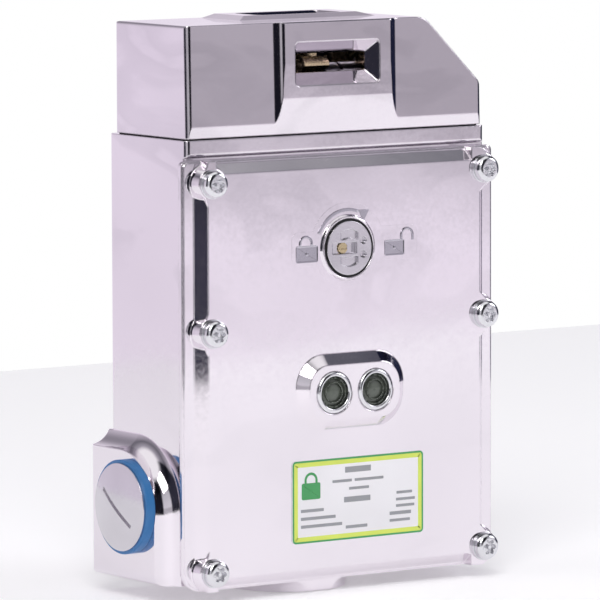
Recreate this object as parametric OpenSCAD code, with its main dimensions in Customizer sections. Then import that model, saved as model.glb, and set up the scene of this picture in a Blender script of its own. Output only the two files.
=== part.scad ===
// Solenoid guard locking switch: cast box with a screwed lid, an actuator head
// with two entries, conduit bosses and the locking mechanism inside.
// Millimetres. X to the right, the front faces -Y, the rear mounting face is
// Y = 0, and Z = 0 is the middle of the rear fixing pattern.

/* [Housing] */
// Width of the housing
body_w = 106; // [104:1:112]
// Depth from the rear face to the seat of the lid gasket
body_d = 39.5; // [39:0.5:42]
// Height from the underside of the box to the neck
body_h = 128.6; // [127:0.5:131]
// Wall thickness of the casting
wall = 3; // [2.5:0.25:3.5]
// Radius of the rear vertical edges
body_rear_r = 3; // [1:0.5:4]
// Radius of the lower side edges
body_foot_r = 6; // [3:0.5:8]
// Height of the collar above the lid
collar_h = 4.95; // [4:0.05:6]
// How far the collar stands in front of the lid seat
collar_step = 1.1; // [1:0.1:1.6]
// Radius of the collar's front vertical edges
collar_r = 1.6; // [1:0.1:2]
// Radius of the collar's lower front edge
collar_brow_r = 1; // [0.5:0.1:1]

/* [Conduit bosses] */
// Height of a side boss over the side wall
side_boss_h = 6.4; // [4:0.1:7]
// Radius of the side boss at its face
side_boss_r = 17.7; // [17:0.1:19]
// Widening of a boss from its face to the wall
boss_flare = 4; // [2:0.1:4.5]
// Distance of the side boss centre from the rear face
side_boss_y = 15.7; // [15:0.1:17]
// Height of the side boss centre above the rim of the bottom boss
side_boss_z = 25.2; // [24:0.1:27]
// Height of the bottom boss
foot_boss_h = 4.75; // [3:0.25:6]
// Radius of the bottom boss at its face
foot_boss_r = 18; // [15:0.5:18]
// Sideways offset of the bottom boss
foot_boss_x = -6; // [-8:0.5:8]
// Distance of the bottom boss centre from the rear face
foot_boss_y = 22; // [20:0.5:22.5]
// Core diameter of the conduit thread
entry_d = 18.5; // [16:0.5:19]
// Distance of the side entries from the rear face
entry_y = 20.2; // [19:0.1:21]
// Height of the side entries
entry_z = 26.8; // [25:0.1:28]

/* [Conduit plugs] */
// Diameter of the plug head
plug_d = 25.5; // [24:0.5:26]
// Height of the domed plug head
plug_h = 2.3; // [2:0.1:3.5]
// Outside diameter of the seal ring
plug_seal_d = 27.4; // [26:0.1:27.9]
// Thickness of the seal ring
plug_seal_t = 2.75; // [1:0.25:3]
// Length of the threaded shank
plug_shank = 9; // [7:0.5:11]
// Length of the screwdriver slot
plug_slot_l = 17.4; // [14:0.2:20]
// Width of the screwdriver slot
plug_slot_w = 1.1; // [0.8:0.1:2]
// Turn of the slot
plug_slot_turn = 35; // [0:5:90]

/* [Rear mounting] */
// Spacing of the rear fixings across
rear_pitch_x = 80; // [76:1:82]
// Spacing of the rear fixings in height
rear_pitch_z = 95; // [92:1:96]
// Height of the middle of the rear fixings above the rim of the bottom boss
rear_mid_h = 70; // [68:0.5:71]
// Core diameter of the rear fixing threads
rear_core_d = 4.2; // [4:0.1:5]
// Depth of the rear fixing holes
rear_depth = 7.5; // [6:0.5:8]

/* [Lid] */
// Width of the lid
lid_w = 110; // [108:0.5:112]
// How far the lid reaches below the underside of the box
lid_reach = 1.25; // [1:0.05:1.5]
// Thickness of the lid flange
flange_t = 2; // [1.6:0.1:2.4]
// Height of the centre panel over the flange
panel_rise = 3.2; // [2.5:0.1:4]
// Slope of the panel walls, as their width in front view
panel_slope = 2.9; // [2:0.1:3.2]
// Margin of the panel foot from the lid's side edges
panel_side = 3.9; // [3:0.1:5]
// Margin of the panel foot from the lid's top and bottom edges
panel_end = 1; // [0.6:0.1:2]
// Thickness of the lid behind the panel
lid_wall = 2.2; // [1.8:0.1:2.6]
// Gap between the lid and the collar
lid_gap = 0.8; // [0.5:0.1:1]
// Thickness of the lid gasket
lid_gasket_t = 0.3; // [0.2:0.1:0.5]

/* [Lid screws] */
// Distance of the lid screws from the middle of their pattern
screw_x = 48.1; // [47.5:0.1:48.4]
// Sideways offset of the screw pattern
screw_shift = 1.5; // [0:0.1:1.5]
// Height of the lower lid screws above the lid's lower edge
screw_low = 5.5; // [5.4:0.1:6.2]
// Height of the middle lid screws
screw_mid = 74.6; // [70:0.1:80]
// Distance of the upper lid screws from the lid's upper edge
screw_high = 6.6; // [6.2:0.1:7]
// Head diameter of the lid screws
screw_head_d = 7.8; // [7:0.1:8]
// Head height of the lid screws
screw_head_h = 2.5; // [2:0.1:3]
// Shank diameter of the lid screws
screw_d = 4; // [3:0.1:4]
// Length of the lid screws under the head
screw_l = 14; // [12:0.5:16]
// Diameter of the washers
washer_d = 8.4; // [8.2:0.1:8.6]
// Thickness of the washers
washer_t = 0.5; // [0.4:0.1:0.8]
// Radius of a screw lobe at panel level
lobe_r = 4.6; // [4.4:0.1:4.7]

/* [Lamp pad] */
// Sideways offset of the pad
pad_x = 1.2; // [0:0.1:2]
// Height of the pad's middle above the lid's lower edge
pad_z = 55.2; // [50:0.1:60]
// Width of the pad at its foot
pad_w = 38; // [36:0.5:40]
// Height of the pad at its foot
pad_l = 22.1; // [20:0.1:24]
// Rise of the pad over the panel
pad_rise = 2.6; // [1.5:0.1:3]
// Corner radius of the pad at its foot
pad_r = 9.6; // [7:0.1:10]
// Slope of the pad's wall, as its width in front view
pad_slope = 3; // [1.5:0.1:3.5]
// Spacing of the two lamps
lamp_pitch = 14.6; // [14:0.1:16]
// Outside diameter of the lamp rings
lamp_ring_d = 12.3; // [12:0.1:13.2]
// Opening of the lamp rings
lamp_open_d = 9.4; // [8:0.1:9.6]

/* [Manual release] */
// Sideways offset of the release
release_x = 0.4; // [0:0.1:1.2]
// Distance of the release from the lid's upper edge
release_drop = 27.3; // [26:0.1:29]
// Diameter of the release disc
release_d = 15.7; // [15:0.1:16]
// Diameter of the raised collar round the disc
release_collar_d = 20; // [19.8:0.1:22]
// Height of that collar over the panel
release_collar_h = 0.8; // [0.4:0.1:1.2]
// Diameter of the release shaft
release_shaft_d = 9; // [8:0.5:10]
// Throw of the eccentric pin
release_throw = 3.5; // [3.3:0.1:3.6]

/* [Label] */
// Width of the label
label_w = 46.6; // [40:0.1:50]
// Height of the label
label_h = 24.1; // [20:0.1:26]
// Thickness of the label
label_t = 0.3; // [0.2:0.1:0.5]
// Left edge of the label from the middle of the lid
label_left = -19.4; // [-22:0.1:-15]
// Lower edge of the label above the lid's lower edge
label_low = 11.6; // [10:0.1:14]

/* [Head] */
// Width of the head
head_w = 104.6; // [102:0.2:106]
// Height of the head
head_h = 32.3; // [32:0.1:34]
// Gap between the head's rear and the rear face of the housing
head_back = 2.3; // [1:0.1:3]
// Depth of the head at its top
head_d = 37.5; // [37:0.1:38]
// Lean of the head's front face in degrees
head_lean = 1.2; // [0.8:0.1:1.6]
// Radius of the head's front vertical edges
head_edge_r = 1.75; // [1:0.05:2.5]
// Width of the flat centre block
block_w = 36.8; // [34:0.2:40]
// How far the centre block stands in front of the wings
block_rise = 1; // [0.6:0.1:1.4]
// Width of the curved step from the wing to the block
block_step = 3.8; // [3:0.1:4.4]
// Share of the step's width taken by its convex edge
block_edge_share = 0.31; // [0.25:0.01:0.45]
// Height over the neck where the undercut meets the centre block
undercut_block = 12.2; // [11:0.2:12.4]
// Height over the neck where the undercut meets the wings
undercut_wing = 3.2; // [2:0.2:4]
// Leg of the bevel at the upper right corner
bevel_leg = 20.6; // [16:0.2:24]
// Radius at both ends of the bevel
bevel_r = 6; // [3:0.5:8]
// Width of the actuator slot
slot_w = 24.4; // [22:0.2:26]
// Height of the actuator slot
slot_h = 5.5; // [5:0.1:6]
// Height of the front slot over the head's underside
slot_z = 20.1; // [19.5:0.1:20.5]
// Depth of the front slot behind the block's face
funnel_d = 4; // [3:0.25:5]
// Width of the funnel mouth
funnel_w = 30; // [28:0.5:32]
// Height of the funnel mouth
funnel_h = 13; // [11:0.25:14]
// Radius of the funnel's corners
funnel_r = 2; // [1:0.25:2.5]
// Distance of the top slot from the rear face
top_slot_y = 15.6; // [15:0.1:17]
// Height of the raised land round the top slot
land_h = 1.2; // [0.8:0.1:2]
// Thickness of the head gasket
head_gasket_t = 0.4; // [0.3:0.1:0.6]
// Distance of the head screws from the middle
head_screw_x = 40; // [36:1:44]

/* [Cam] */
// Distance of the cam shaft from the rear face
cam_y = 21.5; // [21:0.1:22]
// Height of the cam shaft over the head's underside
cam_z = 14.8; // [14.5:0.1:15.2]
// Diameter of the cam shaft
cam_shaft_d = 5; // [4:0.25:5.5]
// Throw of the eccentric discs
cam_throw = 5.2; // [5:0.1:5.4]
// Radius of the eccentric discs
cam_disc_r = 5.5; // [5:0.1:5.6]
// Reach of the cam lugs
lug_reach = 10; // [9:0.1:10.4]
// Width of the cam lugs
lug_w = 8.8; // [7:0.1:9]
// Stroke of the plunger
plunger_stroke = 4; // [3.8:0.1:4.2]

/* [Plunger and lock] */
// Distance of the plunger from the rear face
plunger_y = 19.5; // [19:0.1:20]
// Diameter of the plunger rod
rod_d = 6; // [5:0.25:6]
// Diameter of the lock shoulder
shoulder_d = 12; // [11:0.2:12]
// Stroke of the lock bolt
bolt_stroke = 5.5; // [5:0.1:5.6]
// Thickness of the lock bolt
bolt_t = 1.6; // [1.4:0.1:1.6]
// Height of the lock bolt's underside under the neck
bolt_drop = 22.3; // [22:0.1:23]
// Air gap between pieces that only touch under load
air = 0.4; // [0.35:0.05:0.5]
// Running clearance round shafts and rods
run_fit = 0.05; // [0.03:0.01:0.08]

/* [Solenoid] */
// Height and depth of the solenoid frame
sol_h = 24; // [22:0.5:24]
// Diameter of the armature
armature_d = 10; // [8:0.25:10.5]
// Thickness of the frame plates
frame_t = 2.5; // [1.5:0.25:2.5]

/* [Chassis] */
// Thickness of the chassis plate
plate_t = 1.5; // [1:0.25:2]
// Half width of the chassis plate
plate_hw = 33; // [32:0.5:34]
// Height of the posts that carry the chassis plate
post_h = 4; // [3.5:0.25:4.5]
// Number of poles of the terminal block
poles = 10; // [8:1:12]
// Spacing of the poles
pole_pitch = 6.4; // [5:0.1:6.5]

/* [Hidden] */
$fn = 64;
eps = 0.01;
big = 200;
hw = body_w / 2;
z_rim = -rear_mid_h;
z_body = z_rim + foot_boss_h;
z_side = z_rim + side_boss_z;
z_entry = z_rim + entry_z;
z_neck = z_body + body_h;
z_collar = z_neck - collar_h;
y_seat = -body_d;
y_collar = y_seat - collar_step;

// Lid levels
z_lid = z_body - lid_reach;
lid_h = z_collar - lid_gap - z_lid;
y_flange_back = y_seat - lid_gasket_t;
y_flange = y_flange_back - flange_t;
y_panel = y_flange - panel_rise;
y_lid_in = y_panel + lid_wall;
panel_hw = lid_w / 2 - panel_side - panel_slope;
panel_z0 = z_lid + panel_end + panel_slope;
panel_z1 = z_lid + lid_h - panel_end - panel_slope;
panel_r = 2.5;
lid_foot_r = 6;
lid_top_r = 1.6;
lobe_slope = 1.2;
lobe_web_l = 7;
lid_pocket_in = 2.4;
pocket_hw = screw_x - screw_shift - lobe_r - lid_pocket_in;
screw_xs = [screw_shift - screw_x, screw_shift + screw_x];
screw_z = [z_lid + screw_low, z_lid + screw_mid, z_lid + lid_h - screw_high];
screw_hole_d = screw_d + 0.4;
screw_core_d = screw_d - 0.7;
shank_r = screw_core_d / 2 - run_fit;
column_r = 4.4;
y_washer = y_panel - washer_t;
column_l = screw_l + washer_t;

// Pad and release levels
zp = z_lid + pad_z;
y_pad = y_panel - pad_rise;
ring_seat = 1.6;
ring_proud = 0.5;
ring_fit = 0.1;
ring_round = 0.9;
lens_inset = 0.6;
lens_t = 4;
zr = z_lid + lid_h - release_drop;
y_disc = y_panel - release_collar_h - 0.3;
disc_t = 2.4;
disc_gap = 0.8;
release_seal_t = 0.9;
release_boss_r = 11.5;
release_boss_back = 4.2;
shaft_r = release_shaft_d / 2;
pin_r = 1.5;
clip_t = 0.8;
clip_r = 7;
cam_plate_t = 3;
cam_plate_r = 6;

// Neck and head levels
z_head = z_neck + head_gasket_t;
z_top = z_head + head_h;
y_wing_top = -(head_back + head_d);
y_wing_foot = y_wing_top - head_h * tan(head_lean);
step_turn = 2 * atan(block_rise / block_step);
convex_r = block_edge_share * block_step / sin(step_turn);
concave_r = (1 - block_edge_share) * block_step / sin(step_turn);
block_hw = block_w / 2;
step_out = convex_r * sin(step_turn);
step_back = convex_r * (1 - cos(step_turn));
y_block_face = y_wing_foot - block_rise + slot_z * tan(head_lean);
undercut_slope = atan((block_rise - (undercut_block - undercut_wing) * tan(head_lean))
    / (undercut_block - undercut_wing));
y_undercut = y_wing_foot + undercut_wing * tan(head_lean);
head_rear_r = 2.5;
head_top_r = 1;
head_side_r = 5;
cavity_hw = slot_w / 2 + 0.5;
cavity_r = max(lug_reach, cam_throw + cam_disc_r) + 0.9;
z_slot = z_head + slot_z;
zc = z_head + cam_z;
yc = -cam_y;
land_slope = 4;
land_hw = 20;
land_y0 = 7;
land_y1 = 22;
shaft_ext = 6;
head_screw_r = 3.5;
z_head_screw = z_collar - wall + screw_d + air;

// Mechanism levels
yp = -plunger_y;
disc_rest = 40;
hub_r = cam_shaft_d / 2 + 1.5;
lug_turns = [32, 82, 126, 176];
z_disc_low = zc - cam_throw * cos(disc_rest) - cam_disc_r;
bar_t = 2;
bar_gap = 0.6;
z_bar = z_disc_low - bar_gap;
bar_y0 = cam_y - 7.5;
bar_y1 = cam_y + 3.5;
bar_hw = cavity_hw - 1.5;
bar_room = 1.3;
rod_r = rod_d / 2;
z_bolt = z_neck - bolt_drop;
z_shoulder = z_bolt - air;
shoulder_t = 1.4;
spring_wire_r = 0.5;
spring_r = rod_r + 1.5;
spring_gap = 0.3;
z_rod_end = z_bolt - 20.6;
bush_r = 5;
bush_flange_r = 6.5;
bush_flange_t = 1.2;
fork_slot_r = spring_r + spring_wire_r + spring_gap;
fork_end = -(shoulder_d / 2 + 3 * air);
bolt_l = 10.9;
bolt_y0 = plunger_y - 7.5;
bolt_y1 = plunger_y + 9.5;
bolt_lug_t = 3;
bolt_lug_w = bolt_stroke - 2 * pin_r - 2 * air;
bolt_lug_right = release_x - release_throw - pin_r - air;
bolt_lug_z = zr - 6;
y_pin_end = -(bolt_y1 - bolt_lug_t) + air;
y_cam_front = -(bolt_y1 + 5.4);

// Solenoid levels
sol_y = plunger_y + 2.5;
sol_rise = 1.5;
sol_z = z_bolt + sol_rise;
sol_x1 = fork_end - bolt_l - 1;
sol_x0 = -(screw_x - screw_shift - column_r - 0.6);
sol_l = sol_x1 - sol_x0;
arm_r = armature_d / 2;
bob_in = arm_r + 0.4;
bob_out = bob_in + 1;
bob_flange_r = sol_h / 2 - 1;
bob_flange_t = 1.5;
coil_r = bob_flange_r - 0.6;
arm_rod_r = 2.5;
arm_left = sol_x0 + frame_t + bob_flange_t + 3;
clamp_l = 4.5;
clamp_h = 8;

// Chassis levels
y_inner = -wall;
y_plate_back = y_inner - post_h;
y_plate = y_plate_back - plate_t;
plate_z0 = z_body + wall + 26;
plate_z1 = z_bolt + 11;
post_r = 3.5;
m3_core = 2.5;
m3_r = m3_core / 2 - run_fit;
m3_hole = 3.4;
m3_head_r = 2.8;
m3_head_h = 2;
plate_low = zp + 3.5;
plate_posts = [[-29, plate_low], [29, plate_low], [-29, plate_low + 19], [29, plate_low + 49]];
bracket_t = 1.5;
bracket_drop = 16;
z_bracket = z_shoulder - bracket_drop;
bracket_hw = 8;
block_a_hw = 13;
block_a_d = 22;
block_a_h = 22.5;
block_a_z1 = z_rod_end - 6;
block_a_z0 = block_a_z1 - block_a_h;
button_a_r = 2.4;
well_gap = 0.4;
block_b_x0 = -42;
block_b_x1 = -15;
block_b_z0 = z_bolt - 26;
block_b_z1 = sol_z - sol_h / 2 - 0.5;
block_b_y = bolt_y1 + 5;
button_b_r = 2;
button_b_y = -(bolt_y1 - bolt_lug_t / 2);
button_b_z = bolt_lug_z + button_b_r;
button_b_end = bolt_lug_right - bolt_lug_w - air;
term_z0 = plate_z0 + 4;
term_h = 16;
term_d = 13;
term_hw = poles * pole_pitch / 2 + 1;
term_screw_r = 1.9;
board_t = 1.6;
board_hw = 17;
board_h = 19;
board_post_h = 2.2;
board_post_r = 2;
board_screw_x = 14.8;
board_screw_r = 0.75;
y_board = y_lid_in + board_post_h;
lamp_r = 2.5;

// Cylinder from the point given towards -Y, the front
module front_cyl(p, r, l) translate(p) rotate([90, 0, 0]) cylinder(r = r, h = l);

// Cone from the point given towards -Y
module front_cone(p, r1, r2, l) translate(p) rotate([90, 0, 0]) cylinder(r1 = r1, r2 = r2, h = l);

// Cylinder along +X
module side_cyl(p, r, l) translate(p) rotate([0, 90, 0]) cylinder(r = r, h = l);

// Box given by its two corners
module box(a, b) translate(a) cube(b - a);

// Rectangle given by its two corners, with its own radius at each corner:
// lower left, lower right, upper right, upper left
module round_rect(a, b, r) {
    difference() {
        translate(a) square(b - a);
        if (r[0] > 0) corner_cut([a[0] + r[0], a[1] + r[0]], [a[0], a[1]], r[0]);
        if (r[1] > 0) corner_cut([b[0] - r[1], a[1] + r[1]], [b[0], a[1]], r[1]);
        if (r[2] > 0) corner_cut([b[0] - r[2], b[1] - r[2]], [b[0], b[1]], r[2]);
        if (r[3] > 0) corner_cut([a[0] + r[3], b[1] - r[3]], [a[0], b[1]], r[3]);
    }
}

// What a round corner takes off a square one
module corner_cut(c, p, r) {
    lo = [min(c[0], p[0]), min(c[1], p[1])];
    hi = [max(c[0], p[0]), max(c[1], p[1])];
    out = [p[0] > c[0] ? 1 : 0, p[1] > c[1] ? 1 : 0];
    difference() {
        translate([lo[0] - (1 - out[0]), lo[1] - (1 - out[1])]) square([hi[0] - lo[0] + 1, hi[1] - lo[1] + 1]);
        translate(c) circle(r = r);
    }
}

// Extrusion of a front view outline from y0 to y1, y1 being nearer the front
module front_extrude(y0, y1) translate([0, y0, 0]) rotate([90, 0, 0]) linear_extrude(y0 - y1) children();

// Extrusion of a side view outline, drawn as (distance from the rear, height)
module side_extrude(x0, x1) translate([x1, 0, 0]) rotate([90, 0, -90]) linear_extrude(x1 - x0) children();

// Flared profile of a conduit boss: from its face radius to its foot radius,
// drawn as (radius, height over the wall)
module flare_profile(r, h) {
    root = body_foot_r + 1;
    arc = (h * h + boss_flare * boss_flare) / (2 * boss_flare);
    difference() {
        translate([0, -root]) square([r + boss_flare, h + root]);
        translate([r + arc, h]) circle(r = arc);
    }
}

// Side boss on the right, built flat: its face is a plate with one round corner
// that runs to the rear edge and to the underside
module side_boss() {
    run_low = z_side - z_body;
    root = body_foot_r + 1;
    translate([hw, -side_boss_y, z_side]) rotate([0, 90, 0]) {
        rotate([0, 0, 180]) rotate_extrude(angle = 90) flare_profile(side_boss_r, side_boss_h);
        translate([run_low, 0, 0]) rotate([90, 0, -90])
            linear_extrude(run_low) flare_profile(side_boss_r, side_boss_h);
        rotate([90, 0, 180]) linear_extrude(side_boss_y) flare_profile(side_boss_r, side_boss_h);
        translate([0, 0, -root]) cube([run_low, side_boss_y, side_boss_h + root]);
    }
}

module foot_boss() {
    translate([foot_boss_x, -foot_boss_y, z_body]) mirror([0, 0, 1])
        rotate_extrude() flare_profile(foot_boss_r, foot_boss_h);
}

// The box without its bosses: side, front and side view outlines cut together
module housing_block() {
    intersection() {
        translate([0, 0, z_body]) linear_extrude(body_h)
            round_rect([-hw, y_collar], [hw, 0], [collar_r, collar_r, body_rear_r, body_rear_r]);
        front_extrude(0, y_collar)
            round_rect([-hw, z_body], [hw, z_neck], [body_foot_r, body_foot_r, 0, 0]);
        side_extrude(-hw, hw) difference() {
            translate([0, z_body]) square([-y_collar, body_h]);
            translate([-y_seat, z_body - eps]) square([collar_step + eps, z_collar - z_body + eps]);
            corner_cut([-y_collar - collar_brow_r, z_collar + collar_brow_r], [-y_collar, z_collar], collar_brow_r);
        }
    }
}

module housing_cavity() {
    z0 = z_body + wall;
    z1 = z_collar - wall;
    front_extrude(y_inner, y_seat - eps)
        round_rect([-hw + wall, z0], [hw - wall, z1], [body_foot_r - wall, body_foot_r - wall, 2, 2]);
}

module lid_columns() {
    for (x = screw_xs, z = screw_z)
        front_cyl([x, y_seat + column_l, z], column_r, column_l);
}

module housing() color([0.84, 0.84, 0.87]) {
    difference() {
        union() {
            difference() {
                union() {
                    housing_block();
                    intersection() {
                        union() {
                            side_boss();
                            mirror([1, 0, 0]) side_boss();
                        }
                        box([-big, y_seat, z_body], [big, 0, z_neck]);
                        front_extrude(0, y_seat) round_rect([-hw - side_boss_h, z_body],
                            [hw + side_boss_h, z_neck], [body_foot_r / 2, body_foot_r / 2, 0, 0]);
                        translate([0, 0, z_body]) linear_extrude(body_h)
                            round_rect([-hw - side_boss_h, y_seat], [hw + side_boss_h, 0], [0, 0, 1.5, 1.5]);
                    }
                    intersection() {
                        foot_boss();
                        box([-big, y_seat, z_rim], [big, 0, z_body + wall]);
                    }
                }
                housing_cavity();
            }
            intersection() {
                lid_columns();
                housing_block();
            }
            for (p = plate_posts) front_cyl([p[0], y_inner + 1, p[1]], post_r, post_h + 1);
            for (x = [-1, 1], z = [-1, 1])
                front_cyl([x * rear_pitch_x / 2, y_inner + 1, z * rear_pitch_z / 2],
                    rear_boss_r(), rear_depth);
        }
        for (x = screw_xs, z = screw_z)
            front_cyl([x, y_seat + screw_l - 1, z], screw_core_d / 2, screw_l);
        for (p = plate_posts) front_cyl([p[0], y_inner, p[1]], m3_core / 2, post_h + 1);
        for (x = [-1, 1], z = [-1, 1])
            front_cyl([x * rear_pitch_x / 2, eps, z * rear_pitch_z / 2], rear_core_d / 2, rear_depth);
        side_cyl([-hw - side_boss_h - 1, -entry_y, z_entry], entry_d / 2, side_boss_h + wall + 2);
        side_cyl([hw - wall - 1, -entry_y, z_entry], entry_d / 2, side_boss_h + wall + 2);
        translate([foot_boss_x, -foot_boss_y, z_rim - 1]) cylinder(r = entry_d / 2, h = foot_boss_h + wall + 2);
        translate([0, yp, z_collar - wall - 1]) cylinder(r = bush_r + run_fit / 2, h = collar_h + wall + 2);
        for (x = head_screws_at(), y = head_screw_ys()) {
            translate([x, y, z_collar - wall - 1]) cylinder(r = screw_hole_d / 2, h = collar_h + wall + 2);
            translate([x, y, z_collar - wall - 1]) cylinder(r = head_screw_r + air, h = z_head_screw - z_collar + wall + 1);
        }
    }
}

function rear_boss_r() = rear_core_d / 2 + 2.9;
function head_screws_at() = [-head_screw_x, head_screw_x];
function head_screw_ys() = [-12, -30];

module lid_outline() {
    round_rect([-lid_w / 2, z_lid], [lid_w / 2, z_lid + lid_h], [lid_foot_r, lid_foot_r, lid_top_r, lid_top_r]);
}

// Flange with a small bevel round its front edge
module lid_flange() {
    edge = 0.5;
    front_extrude(y_flange_back, y_flange + edge) lid_outline();
    front_extrude(y_flange_back, y_flange)
        round_rect([-lid_w / 2 + edge, z_lid + edge], [lid_w / 2 - edge, z_lid + lid_h - edge],
            [lid_foot_r, lid_foot_r, lid_top_r, lid_top_r]);
}

// Raised field with sloping walls and round corners: half width a, half height b
// and corner radius r at its foot, drawn in from there by the slope
module sloped_pad(p, a, b, r, slope, rise) {
    translate(p) {
        linear_extrude(2 * (b - r), center = true)
            polygon([[-a, 0], [a, 0], [a - slope, -rise], [slope - a, -rise]]);
        rotate([90, 0, 90]) linear_extrude(2 * (a - r), center = true)
            polygon([[0, -b], [0, b], [-rise, b - slope], [-rise, slope - b]]);
        for (x = [-1, 1], z = [-1, 1]) front_cone([x * (a - r), 0, z * (b - r)], r, r - slope, rise);
        front_extrude(1, 0) round_rect([-a, -b], [a, b], [r, r, r, r]);
    }
}

// Raised centre panel with sloping walls, and the lobes round the screws
module lid_panel() {
    sloped_pad([0, y_flange, (panel_z0 + panel_z1) / 2], panel_hw + panel_slope,
        (panel_z1 - panel_z0) / 2 + panel_slope, panel_r + panel_slope, panel_slope, panel_rise);
    intersection() {
        for (x = screw_xs, z = screw_z) {
            front_cone([x, y_flange_back, z], lobe_r + lobe_slope * (1 + flange_t / panel_rise), lobe_r,
                panel_rise + flange_t);
            front_extrude(y_flange_back, y_panel) lobe_web([x, z]);
        }
        front_extrude(y_flange_back, y_panel) lid_outline();
    }
}

// Front view of the webs that lead the panel's side and end walls into a lobe
module lobe_web(p) {
    s = p[0] > 0 ? 1 : -1;
    n = lobe_r * 0.62;
    side = [s * (panel_hw - 0.2), lobe_web_l];
    polygon([[p[0], p[1] - n], [p[0] + s * n, p[1] - n], [side[0], p[1] - side[1]], [side[0] - s * n, p[1] - side[1]],
        [side[0] - s * n, p[1] + side[1]], [side[0], p[1] + side[1]], [p[0] + s * n, p[1] + n], [p[0], p[1] + n]]);
    if (p[1] == screw_z[0]) end_web(p, panel_z0 + 0.2, s, n);
    if (p[1] == screw_z[2]) end_web(p, panel_z1 - 0.2, s, n);
}

module end_web(p, z, s, n) {
    e = p[1] > 0 ? 1 : -1;
    polygon([[p[0] - s * n, p[1]], [p[0] - s * n, p[1] + e * n], [p[0] - s * lobe_web_l, z],
        [p[0] - s * lobe_web_l, z - e * n], [p[0], z - e * n], [p[0], p[1]]]);
}

module lid_pad() {
    sloped_pad([pad_x, y_panel, zp], pad_w / 2, pad_l / 2, pad_r, pad_slope, pad_rise);
}

module lid() color([0.86, 0.86, 0.89]) {
    difference() {
        union() {
            difference() {
                union() {
                    lid_flange();
                    lid_panel();
                }
                front_extrude(y_flange_back + 1, y_lid_in)
                    round_rect([-pocket_hw, panel_z0 + lid_pocket_in], [pocket_hw, panel_z1 - lid_pocket_in],
                        [3, 3, 3, 3]);
            }
            lid_pad();
            front_cone([release_x, y_panel + 1, zr], release_collar_d / 2 + 0.6, release_collar_d / 2 - 0.8,
                release_collar_h + 1);
            front_cyl([release_x, y_lid_in + release_boss_back, zr], release_boss_r, release_boss_back + 1);
            for (x = [-1, 1]) {
                front_cyl([pad_x + x * board_screw_x, y_board, zp], board_post_r, board_post_h + 1);
            }
        }
        for (x = screw_xs, z = screw_z)
            front_cyl([x, y_flange_back + 1, z], screw_hole_d / 2, flange_t + panel_rise + 2);
        front_cyl([release_x, y_disc_seat(), zr], release_d / 2 + disc_gap, big);
        front_cyl([release_x, y_lid_in + release_boss_back + 1, zr], shaft_r + run_fit, big);
        for (x = [-1, 1]) {
            front_cyl([pad_x + x * lamp_pitch / 2, y_pad + ring_seat, zp], lamp_ring_d / 2 + ring_fit, big);
            front_cyl([pad_x + x * lamp_pitch / 2, y_board, zp], lamp_open_d / 2 + ring_fit, big);
            front_cyl([pad_x + x * board_screw_x, y_board + 1, zp], board_screw_r + run_fit, board_post_h + 1.5);
        }
    }
}

function y_disc_seat() = y_disc + disc_t + release_seal_t + run_fit;

module lid_gasket() color([0.12, 0.12, 0.13]) {
    inner_hw = screw_x - screw_shift - column_r;
    front_extrude(y_seat, y_flange_back) difference() {
        round_rect([-hw + 0.6, z_body + 0.6], [hw - 0.6, z_collar - lid_gap - 0.4],
            [body_foot_r, body_foot_r, lid_top_r, lid_top_r]);
        round_rect([-inner_hw, z_body + wall], [inner_hw, z_collar - wall], [3, 3, 3, 3]);
        for (x = screw_xs, z = screw_z) translate([x, z]) circle(r = screw_hole_d / 2);
    }
}

// Six-lobed socket with its centre pin left standing, cut from a screw head
module lobe_socket(depth) {
    difference() {
        union() {
            cylinder(r = 1.65, h = depth);
            for (a = [0 : 60 : 300]) rotate([0, 0, a]) translate([1.7, 0, 0]) cylinder(r = 0.6, h = depth, $fn = 20);
        }
        cylinder(r = 0.6, h = depth, $fn = 24);
    }
}

// Pan head: a flat top with a round edge
module pan_head(d, h) {
    rotate_extrude() round_rect([0, 0], [d / 2, h], [0, 0, h * 0.58, 0]);
}

module lid_screws() color([0.78, 0.78, 0.8]) {
    socket = 1.5;
    for (x = screw_xs, z = screw_z) translate([x, y_washer, z]) rotate([90, 0, 0]) {
        difference() {
            pan_head(screw_head_d, screw_head_h);
            translate([0, 0, screw_head_h - socket]) lobe_socket(socket + 1);
        }
        translate([0, 0, -screw_l]) cylinder(r = shank_r, h = screw_l);
    }
}

module lid_washers() color([0.75, 0.75, 0.77]) {
    for (x = screw_xs, z = screw_z) translate([x, y_panel, z]) rotate([90, 0, 0]) difference() {
        cylinder(r = washer_d / 2, h = washer_t);
        translate([0, 0, -1]) cylinder(r = screw_core_d / 2 + 0.1, h = washer_t + 2);
    }
}

// Blanking plug of the left entry: a dome cut from a ball, a slot and a hollow shank
module conduit_plug() color([0.8, 0.8, 0.82]) mirror([1, 0, 0]) {
    rim = plug_h * 0.3;
    rise = plug_h - rim;
    ball_r = (plug_d * plug_d / 4 + rise * rise) / (2 * rise);
    slot_depth = 1.2;
    translate([hw + side_boss_h + plug_seal_t, -entry_y, z_entry]) rotate([0, 90, 0]) difference() {
        union() {
            intersection() {
                cylinder(r = plug_d / 2, h = plug_h);
                translate([0, 0, plug_h - ball_r]) sphere(r = ball_r, $fn = 160);
            }
            translate([0, 0, -plug_shank]) cylinder(r = entry_d / 2 - run_fit, h = plug_shank);
        }
        translate([0, 0, plug_h]) rotate([0, 0, plug_slot_turn - 90])
            cube([plug_slot_l, plug_slot_w, 2 * slot_depth], center = true);
        translate([0, 0, -plug_shank - 1]) cylinder(r = entry_d / 2 - 3, h = plug_shank);
    }
}

module plug_seal() color([0.28, 0.5, 0.74]) {
    translate([-hw - side_boss_h, -entry_y, z_entry]) rotate([0, -90, 0]) difference() {
        cylinder(r = plug_seal_d / 2, h = plug_seal_t);
        translate([0, 0, -1]) cylinder(r = entry_d / 2 + 0.1, h = plug_seal_t + 2);
    }
}

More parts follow.
